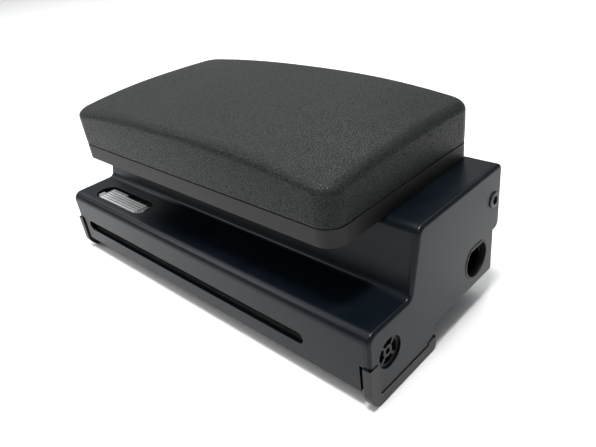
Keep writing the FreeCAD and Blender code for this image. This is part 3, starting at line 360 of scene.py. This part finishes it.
def kraftBoard():
    # a slanting joint line winds round the tube
    look = kraftLook
    finish = Finish("kraftBoard", Specular_IOR_Level=look["gloss"])
    fibre = finish.cloud(look["fibre"], 5, 0.7, stretch=(0.4, 1, 1))
    wound = finish.node("ShaderNodeTexWave", {"bands_direction": "DIAGONAL"},
                        {"Vector": finish.mapped(), "Scale": look["wound"], "Distortion": 0.3}, "Fac")
    finish.feed("Base Color", finish.blend(fibre * 0.7 + wound.step(0.9, 1.0) * 0.3, look["light"],
                                           look["dark"]))
    finish.feed("Roughness", look["rough"] + fibre * 0.15)
    finish.relief(fibre, look["depth"], look["strength"])
    return finish


headLook = {"pale": tone(0.80, 0.79, 0.74), "grey": tone(0.68, 0.67, 0.62), "heater": tone(0.10, 0.055, 0.03),
            "heaterLow": 13.2 * mm, "heaterHigh": 14.6 * mm, "fade": 0.3 * mm, "coat": 0.3, "speck": 800,
            "rough": 0.3, "depth": 0.04 * mm, "strength": 0.4}


def ceramicHead():
    # the heater line is a dark band along the glazed strip
    look = headLook
    finish = Finish("ceramicHead", Coat_Weight=look["coat"])
    height = finish.axis("Z")
    band = (height.step(look["heaterLow"], look["heaterLow"] + look["fade"])
            * (1 - height.step(look["heaterHigh"] - look["fade"], look["heaterHigh"])))
    speck = finish.cloud(look["speck"], 3, 0.6)
    glaze = finish.blend(speck, look["pale"], look["grey"])
    finish.feed("Base Color", finish.blend(band, glaze, look["heater"]))
    finish.feed("Roughness", look["rough"] + speck * 0.15)
    finish.relief(speck + band, look["depth"], look["strength"])
    return finish


hoodPaint = satinPaint("hoodPaint", paintLook["hoodRough"])
basePaint = satinPaint("basePaint", paintLook["baseRough"])
padSkin = grainedSkin()
padBand = mouldedBlack("padBand", 0.38, 0.0050, grain=1500, gloss=0.26)
trimRubber = rubber("trimRubber", 0.0050, 0.32, 0.30)
softRubber = rubber("softRubber", 0.011, 0.58, 0.3)
blackNylon = mouldedBlack("blackNylon", 0.42, 0.005)
sleeveNylon = mouldedBlack("sleeveNylon", 0.46, 0.022)
casePlastic = mouldedBlack("casePlastic", 0.50, 0.020, grain=1200, depth=0.09 * mm)
socketBlack = mouldedBlack("socketBlack", 0.38, 0.012)
blackOxide = platedSteel("blackOxide", tone(0.10, 0.10, 0.105), 0.30, True)
zincSteel = platedSteel("zincSteel", tone(0.62, 0.63, 0.62), 0.26, False)
sinkMetal = platedSteel("sinkMetal", tone(0.80, 0.81, 0.82), 0.30, True)
keyClear = clearPlastic("feed_key")
boardGreen = circuitGreen()
gearAcetal = acetal()
headCeramic = ceramicHead()
paperWhite = rollPaper("paper_roll")
coreKraft = kraftBoard()
print("finishes made:", len(bpy.data.materials))


edgeForm = {"sharp": 38, "crease": 28, "flat": 0.6, "segments": 2, "faceWeight": 100}   # angles in degrees


def finishPiece(name, mesh, body, finish, nodes=(), crease=edgeForm["crease"], evenNormals=True):
    # turns a bmesh into a piece that rides on its body and stands for its nodes
    for face in mesh.faces:
        face.smooth = True
    data = bpy.data.meshes.new(name)
    mesh.to_mesh(data)
    mesh.free()
    data.set_sharp_from_angle(angle=radians(crease))
    piece = bpy.data.objects.new(name, data)
    scene.collection.objects.link(piece)
    data.materials.append(finish.material)
    if evenNormals:
        weighted = piece.modifiers.new("evenNormals", "WEIGHTED_NORMAL")
        weighted.keep_sharp = True
        weighted.weight = edgeForm["faceWeight"]
    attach(piece, body)
    if nodes:
        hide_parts(*nodes)
    return piece


def bevelSharp(mesh, width, sharp):
    edges = [edge for edge in mesh.edges
             if len(edge.link_faces) == 2 and edge.calc_face_angle() > radians(sharp)]
    bmesh.ops.bevel(mesh, geom=edges, offset=width, offset_type="OFFSET", affect="EDGES",
                    segments=edgeForm["segments"], profile=0.5, material=-1, clamp_overlap=True)


def mergedCopy(node):
    # a frame node's mesh is loose triangles, so its copy is merged and its flat faces joined
    mesh = bmesh.new()
    mesh.from_mesh(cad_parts[node].data)
    bmesh.ops.remove_doubles(mesh, verts=mesh.verts, dist=weldReach)
    bmesh.ops.dissolve_limit(mesh, angle_limit=radians(edgeForm["flat"]), use_dissolve_boundaries=False,
                             verts=mesh.verts, edges=mesh.edges, delimit=set())
    return mesh


def easedCopy(node, body, finish, width):
    # the hard edges are eased, so that they catch the light
    mesh = mergedCopy(node)
    bevelSharp(mesh, width, edgeForm["sharp"])
    return finishPiece(node.replace("_", "") + "Eased", mesh, body, finish, [node])


def dress(node, finish):
    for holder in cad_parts[node].material_slots:
        holder.material = finish.material


# The soft pad: a crowned block with a rolled rim.

padForm = {
    "corner": 11 * mm, "cornerSteps": 9, "rim": 6 * mm, "rimSteps": 6, "foot": 0.6 * mm, "footSteps": 2,
    "rimAngle": 60, "bulge": 0.7 * mm,
    "bulgeHigh": 0.62,                          # the sides swell most at this share of the height
    "bulgeFlat": 4, "bulgeSpread": 3,           # how evenly the swelling runs along a side
    "peakAcross": 14 * mm,                      # where the crown is highest along X
    "leftReach": 119 * mm, "leftDrop": 4.9 * mm, "leftPower": 2.3,
    "rightReach": 106 * mm, "rightDrop": 7.2 * mm, "rightPower": 2.4,
    "frontDrop": 1.9 * mm, "rearDrop": 1.0 * mm, "cornerDrop": 2.6 * mm, "rearShare": 0.4,
    "crownSpread": 1.3, "cell": 5.5 * mm, "fill": 0.95,
}


def cutGrid(mesh, low, high, cell, axes):
    # even cuts square across the mesh, so that it can be shaped smoothly
    for letter in axes:
        normal = Vector((0, 0, 0))
        normal[letter] = 1
        count = max(1, int((high[letter] - low[letter]) / cell))
        for number in range(1, count):
            spot = Vector(low)
            spot[letter] = low[letter] + (high[letter] - low[letter]) * number / count
            bmesh.ops.bisect_plane(mesh, geom=mesh.verts[:] + mesh.edges[:] + mesh.faces[:],
                                   dist=cutReach, plane_co=spot, plane_no=normal)


def crownDrop(across, back, low, high):
    form = padForm
    side = across - form["peakAcross"]
    if side > 0:
        drop = form["rightDrop"] * (side / form["rightReach"]) ** form["rightPower"]
    else:
        drop = form["leftDrop"] * (-side / form["leftReach"]) ** form["leftPower"]
    middle = (low + high) / 2
    depth = (back - middle.y) / (high.y - middle.y)
    end = (across - middle.x) / (high.x - middle.x)
    drop += (form["frontDrop"] if depth < 0 else form["rearDrop"]) * depth ** 2
    share = 1.0 if depth < 0 else form["rearShare"]
    return drop + form["cornerDrop"] * share * (end * depth) ** 2


def swell(rise):
    # 0 at the foot and the rim, 1 at the widest level
    high = padForm["bulgeHigh"]
    return max(0.0, 1 - ((rise - high) / (high if rise < high else 1 - high)) ** 2)


def makePad():
    low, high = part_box("arm_pad")
    form = padForm
    size = high - low
    mesh = bmesh.new()
    bmesh.ops.create_cube(mesh, size=1)
    bmesh.ops.scale(mesh, vec=size, verts=mesh.verts)
    bmesh.ops.translate(mesh, vec=(low + high) / 2, verts=mesh.verts)
    upright = [edge for edge in mesh.edges if abs(edge.verts[0].co.z - edge.verts[1].co.z) > size.z / 2]
    bmesh.ops.bevel(mesh, geom=upright, offset=form["corner"], affect="EDGES", segments=form["cornerSteps"],
                    profile=0.5, material=-1)
    for level, radius, steps in ((high.z, form["rim"], form["rimSteps"]),
                                 (low.z, form["foot"], form["footSteps"])):
        rim = [edge for edge in mesh.edges
               if all(abs(vert.co.z - level) < levelReach for vert in edge.verts)
               and len(edge.link_faces) == 2 and edge.calc_face_angle() > radians(form["rimAngle"])]
        bmesh.ops.bevel(mesh, geom=rim, offset=radius, affect="EDGES", segments=steps, profile=0.5,
                        material=-1)
    cutGrid(mesh, low, high, form["cell"], (0, 1, 2))
    middle = (low + high) / 2
    for vert in mesh.verts:
        rise = (vert.co.z - low.z) / size.z
        end = (vert.co.x - middle.x) / (size.x / 2)
        depth = (vert.co.y - middle.y) / (size.y / 2)
        push = form["bulge"] * swell(rise)
        vert.co.y += push * (1 - end ** form["bulgeFlat"]) * depth ** form["bulgeSpread"]
        vert.co.x += push * (1 - depth ** form["bulgeFlat"]) * end ** form["bulgeSpread"]
        vert.co.z -= crownDrop(vert.co.x, vert.co.y, low, high) * rise ** form["crownSpread"]
    pad = finishPiece("armPadSkin", mesh, "hood", padSkin, ["arm_pad"], form["rimAngle"], False)
    smooth = pad.modifiers.new("smooth", "SUBSURF")
    smooth.levels = 1
    smooth.render_levels = 1
    return pad


makePad()
print("pad made")


# The feed key: a clear block with ribs along it, their tops painted pale as a painted highlight.

keyForm = {"ribs": 5, "ribWide": 1.35 * mm, "ribTall": 0.5 * mm, "endLeft": 7.5 * mm, "endRight": 5.5 * mm,
           "front": 2.0 * mm, "deep": 9.4 * mm, "ease": 0.25 * mm, "sharp": 50, "crease": 35}


def makeKey():
    # the frame's key, its top lowered so that the ribs on it reach the same height
    low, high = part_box("feed_key")
    form = keyForm
    mesh = mergedCopy("feed_key")
    topVerts = [vert for vert in mesh.verts if vert.co.z > high.z - levelReach]
    bmesh.ops.translate(mesh, vec=(0, 0, -form["ribTall"]), verts=topVerts)
    level = high.z - form["ribTall"]
    pitch = form["deep"] / (form["ribs"] - 1)
    strips = [low.y + form["front"] + pitch * number for number in range(form["ribs"])]
    ends = (low.x + form["endLeft"], high.x - form["endRight"])
    cuts = [((0, strip + form["ribWide"] * half, 0), (0, 1, 0)) for strip in strips for half in (-0.5, 0.5)]
    cuts += [((end, 0, 0), (1, 0, 0)) for end in ends]
    for spot, normal in cuts:
        top = [face for face in mesh.faces if all(abs(vert.co.z - level) < levelReach for vert in face.verts)]
        parts = {part for face in top for part in (face, *face.edges, *face.verts)}
        bmesh.ops.bisect_plane(mesh, geom=list(parts), dist=cutReach, plane_co=spot, plane_no=normal)
    raised = []
    for face in mesh.faces:
        spot = face.calc_center_median()
        onStrip = any(abs(spot.y - strip) < form["ribWide"] / 2 for strip in strips)
        if abs(spot.z - level) < levelReach and onStrip and ends[0] < spot.x < ends[1]:
            raised.append(face)
    grown = bmesh.ops.extrude_face_region(mesh, geom=raised)["geom"]
    bmesh.ops.translate(mesh, vec=(0, 0, form["ribTall"]),
                        verts=[part for part in grown if isinstance(part, bmesh.types.BMVert)])
    bmesh.ops.delete(mesh, geom=raised, context="FACES_ONLY")
    bmesh.ops.recalc_face_normals(mesh, faces=mesh.faces)
    bevelSharp(mesh, form["ease"], form["sharp"])
    return finishPiece("feedKeyClear", mesh, "key", keyClear, ["feed_key"], form["crease"])


makeKey()
print("key made")


# The pivot screws: a low head, a shoulder that the hood turns on, and a thread.

screwForm = {"steps": 48, "hex": 2.3 * mm, "lead": 2.9 * mm, "leadDeep": 0.3 * mm, "hexDeep": 1.5 * mm,
             "proud": 0.8 * mm, "dome": 0.12 * mm, "domeShare": 0.8, "rim": 0.3 * mm, "shoulder": 3.5 * mm,
             "shoulderLong": 5.4 * mm, "thread": 2.5 * mm, "tip": 0.4 * mm, "crease": 32}


def makePivotScrew(node, side):
    low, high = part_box(node)
    centre = (low + high) / 2
    head = (high.y - low.y) / 2
    face = high.x if side > 0 else -low.x
    inner = low.x if side > 0 else -high.x
    form = screwForm
    seat = face - form["proud"]
    neck = seat - form["shoulderLong"]
    # along X from the outer face inwards, and out from the axis
    profile = [(face, form["lead"]), (face - form["dome"], head * form["domeShare"]),
               (face - form["dome"] * 2, head - form["rim"]), (face - form["dome"] * 2 - form["rim"], head),
               (seat, head), (seat, form["shoulder"]), (neck, form["shoulder"]), (neck, form["thread"]),
               (inner + form["tip"], form["thread"]), (inner, form["thread"] - form["tip"])]
    mesh = bmesh.new()
    verts = [mesh.verts.new((along * side, centre.y, centre.z + out)) for along, out in profile]
    edges = [mesh.edges.new(pair) for pair in zip(verts, verts[1:])]
    bmesh.ops.spin(mesh, geom=verts + edges, cent=centre, axis=(1, 0, 0), angle=2 * pi,
                   steps=form["steps"], use_merge=True, use_duplicate=False)
    bmesh.ops.remove_doubles(mesh, verts=mesh.verts, dist=levelReach)
    turn = Matrix.Rotation(radians(90), 4, "Y")
    ring = bmesh.ops.create_circle(mesh, cap_ends=False, radius=form["hex"] / cos(radians(30)), segments=6,
                                   matrix=Matrix.Translation((side * (face - form["leadDeep"]), centre.y,
                                                              centre.z)) @ turn)["verts"]
    hexEdges = list({edge for vert in ring for edge in vert.link_edges})
    mouth = [edge for edge in mesh.edges if edge.is_boundary
             and all(abs(vert.co.x - side * face) < levelReach for vert in edge.verts)]
    bmesh.ops.bridge_loops(mesh, edges=mouth + hexEdges)
    walls = bmesh.ops.extrude_edge_only(mesh, edges=hexEdges)["geom"]
    floor = [part for part in walls if isinstance(part, bmesh.types.BMVert)]
    bmesh.ops.translate(mesh, vec=(-side * form["hexDeep"], 0, 0), verts=floor)
    bmesh.ops.holes_fill(mesh, edges=[edge for edge in mesh.edges if edge.is_boundary], sides=0)
    bmesh.ops.recalc_face_normals(mesh, faces=mesh.faces)
    name = "pivotScrewRight" if side > 0 else "pivotScrewLeft"
    return finishPiece(name, mesh, "base", blackOxide, [node], form["crease"])


makePivotScrew("pivot_screw_right", 1)
makePivotScrew("pivot_screw_left", -1)
print("pivot screws made")


# Pieces that keep the frame's own shape. The last figure is how far their edges are eased.

eased = {
    "hood_shell": ("hood", hoodPaint, "hood_paint", 0.30 * mm),
    "end_plate_left": ("hood", hoodPaint, "hood_paint", 0.30 * mm),
    "end_plate_right": ("hood", hoodPaint, "hood_paint", 0.30 * mm),
    "edge_trim_left": ("hood", trimRubber, "trim_rubber", 0.20 * mm),
    "edge_trim_right": ("hood", trimRubber, "trim_rubber", 0.20 * mm),
    "pad_base": ("hood", padBand, "pad_board", 0.90 * mm),
    "vent_plug": ("hood", blackNylon, "black_nylon", 0.25 * mm),
    "cable_bushing": ("hood", blackNylon, "black_nylon", 0.25 * mm),
    "base_tray": ("base", basePaint, "base_paint", 0.25 * mm),
    "cheek_left": ("base", basePaint, "base_paint", 0.25 * mm),
    "cheek_right": ("base", basePaint, "base_paint", 0.25 * mm),
    "printer_case_lower": ("base", casePlastic, "case_plastic", 0.30 * mm),
    "printer_case_upper": ("base", casePlastic, "case_plastic", 0.30 * mm),
}
for node, (body, finish, slot, width) in eased.items():
    easedCopy(node, body, finish, width)
print("eased copies:", len(eased))

dressed = {
    "pad_screws": zincSteel, "pivot_nuts": zincSteel, "bracket_screws": zincSteel, "case_screws": blackOxide,
    "strike_plate": zincSteel, "catch_magnet": zincSteel, "hub_clip": zincSteel, "hub_spring": zincSteel,
    "key_springs": zincSteel, "platen_shaft": zincSteel, "feed_motor": zincSteel,
    "pivot_sleeve_left": sleeveNylon, "pivot_sleeve_right": sleeveNylon,
    "stop_bumpers": softRubber, "rest_bumpers": softRubber, "platen_roller": softRubber,
    "roll_hub_left": blackNylon, "roll_hub_right": blackNylon, "bearing_blocks": blackNylon,
    "catch_bracket": basePaint, "roll_bracket": basePaint,
    "circuit_board": boardGreen, "key_board": boardGreen, "drive_pinion": gearAcetal,
    "platen_gear": gearAcetal, "print_head": headCeramic, "heat_sink": sinkMetal,
    "data_socket": zincSteel, "power_socket": socketBlack, "paper_roll": paperWhite, "roll_core": coreKraft,
}
for node, finish in dressed.items():
    dress(node, finish)
print("frame nodes dressed:", len(dressed))


# The floor, the light and the camera.

studio = {"floorHalf": 6.0, "floorTone": tone(0.86), "floorRough": 0.85, "floorGloss": 0.2,
          "floorGap": 0.05 * mm, "aim": (0, 0, 0.05), "skyTone": tone(0.96, 0.98, 1.0), "skyStrength": 0.30,
          "softbox": {"spot": (-0.7, 0.35, 1.85), "size": (2.7, 2.7), "power": 46},
          "edgeLight": {"spot": (-1.0, -0.8, 0.95), "size": (0.6, 0.6), "power": 6},
          "glint": {"spot": (0.17, -0.23, 1.3), "size": (0.26, 0.26), "power": 15}}


def makeFloor():
    mesh = bmesh.new()
    half = studio["floorHalf"]
    bmesh.ops.create_grid(mesh, x_segments=1, y_segments=1, size=half)
    bmesh.ops.translate(mesh, vec=(0, 0, cadLow.z - studio["floorGap"]), verts=mesh.verts)
    data = bpy.data.meshes.new("floor")
    mesh.to_mesh(data)
    mesh.free()
    floor = bpy.data.objects.new("floor", data)
    scene.collection.objects.link(floor)
    finish = Finish("floorPaint", Roughness=studio["floorRough"], Specular_IOR_Level=studio["floorGloss"])
    finish.feed("Base Color", studio["floorTone"])
    data.materials.append(finish.material)


def makeLamp(name, target, form):
    lamp = bpy.data.lights.new(name, "AREA")
    lamp.shape = "RECTANGLE"
    lamp.size, lamp.size_y = form["size"]
    lamp.energy = form["power"]
    holder = bpy.data.objects.new(name, lamp)
    scene.collection.objects.link(holder)
    holder.location = form["spot"]
    holder.rotation_euler = (Vector(target) - Vector(form["spot"])).to_track_quat("-Z", "Y").to_euler()


makeFloor()
scene.view_settings.view_transform = "Standard"
world = bpy.data.worlds.new("studioSky")
scene.world = world
world.use_nodes = True
sky = world.node_tree.nodes["Background"]
sky.inputs["Color"].default_value = studio["skyTone"]
sky.inputs["Strength"].default_value = studio["skyStrength"]
for lampName in ("softbox", "edgeLight", "glint"):
    makeLamp(lampName, studio["aim"], studio[lampName])

cameraView = {"spot": (0.26799, -0.24135, 0.21360), "azimuth": 46.894, "elevation": 30.245, "roll": -7.725,
              "lens": 34.887, "sensor": 36.0, "near": 0.01, "far": 50}


def makeCamera():
    view = cameraView
    turn = radians(view["azimuth"])
    lift = radians(view["elevation"])
    roll = radians(view["roll"])
    back = Vector((sin(turn) * cos(lift), -cos(turn) * cos(lift), sin(lift)))
    right = Vector((0, 0, 1)).cross(back).normalized()
    up = back.cross(right)
    tiltedRight = right * cos(roll) + up * sin(roll)
    tiltedUp = up * cos(roll) - right * sin(roll)
    camera = bpy.data.objects.new("studioCamera", bpy.data.cameras.new("studioCamera"))
    scene.collection.objects.link(camera)
    camera.matrix_world = Matrix.Translation(view["spot"]) @ Matrix(
        (tiltedRight, tiltedUp, back)).transposed().to_4x4()
    camera.data.lens = view["lens"]
    camera.data.sensor_width = view["sensor"]
    camera.data.clip_start = view["near"]
    camera.data.clip_end = view["far"]
    scene.camera = camera


makeCamera()
print("studio ready")

bpy.context.view_layer.update()
